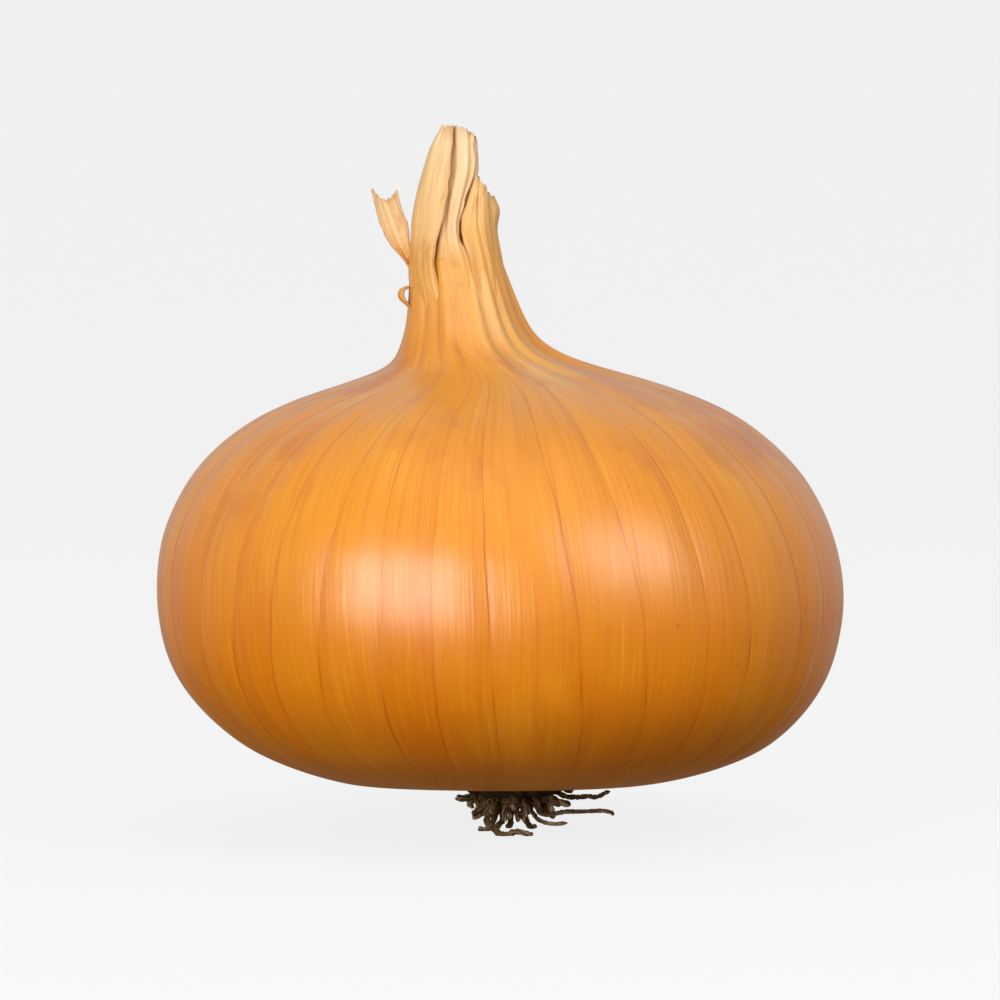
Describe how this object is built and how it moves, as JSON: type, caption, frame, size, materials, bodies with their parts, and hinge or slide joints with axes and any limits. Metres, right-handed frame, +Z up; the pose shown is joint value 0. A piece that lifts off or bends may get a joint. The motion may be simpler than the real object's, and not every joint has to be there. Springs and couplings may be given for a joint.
{
  "type": "onion",
  "caption": "Whole flat round onion with a dried neck, torn papery leaf remnants and a short tuft of dry roots that it stands on.",
  "frame": {"origin": "on the surface that the onion stands on, under the middle of the bulb", "axes": "+Z up from the roots to the neck, -Y towards the viewer, +X to the viewer's right"},
  "size_m": [0.0797, 0.0798, 0.0824],
  "materials": {
    "onion_skin": "satin, dry papery skin with fine veins along the bulb",
    "root_plate": "matt, corky",
    "dry_root": "matt, dry and fibrous",
    "dry_leaf": "matt, thin and papery"
  },
  "bodies": {
    "root": {"bulb": "onion_skin", "leaf_back": "dry_leaf", "leaf_flap": "dry_leaf", "leaf_middle": "dry_leaf", "leaf_narrow": "dry_leaf", "leaf_shred": "dry_leaf", "leaf_stub_edge": "dry_leaf", "leaf_stub_front": "dry_leaf", "leaf_tall": "dry_leaf", "root_foot_1": "dry_root", "root_foot_2": "dry_root", "root_foot_3": "dry_root", "root_foot_4": "dry_root", "root_front_1": "dry_root", "root_front_2": "dry_root", "root_front_3": "dry_root", "root_hooked_right": "dry_root", "root_left_stub": "dry_root", "root_left_tip": "dry_root", "root_loop": "dry_root", "root_low_right": "dry_root", "root_middle_1": "dry_root", "root_middle_2": "dry_root", "root_middle_3": "dry_root", "root_middle_4": "dry_root", "root_middle_5": "dry_root", "root_middle_6": "dry_root", "root_nub_right": "dry_root", "root_outer_1": "dry_root", "root_outer_2": "dry_root", "root_outer_3": "dry_root", "root_outer_4": "dry_root", "root_outer_5": "dry_root", "root_outer_6": "dry_root", "root_outer_7": "dry_root", "root_outer_8": "dry_root", "root_plate": "root_plate", "root_stub_right": "dry_root", "root_upper_right": "dry_root"}
  },
  "joints": []
}
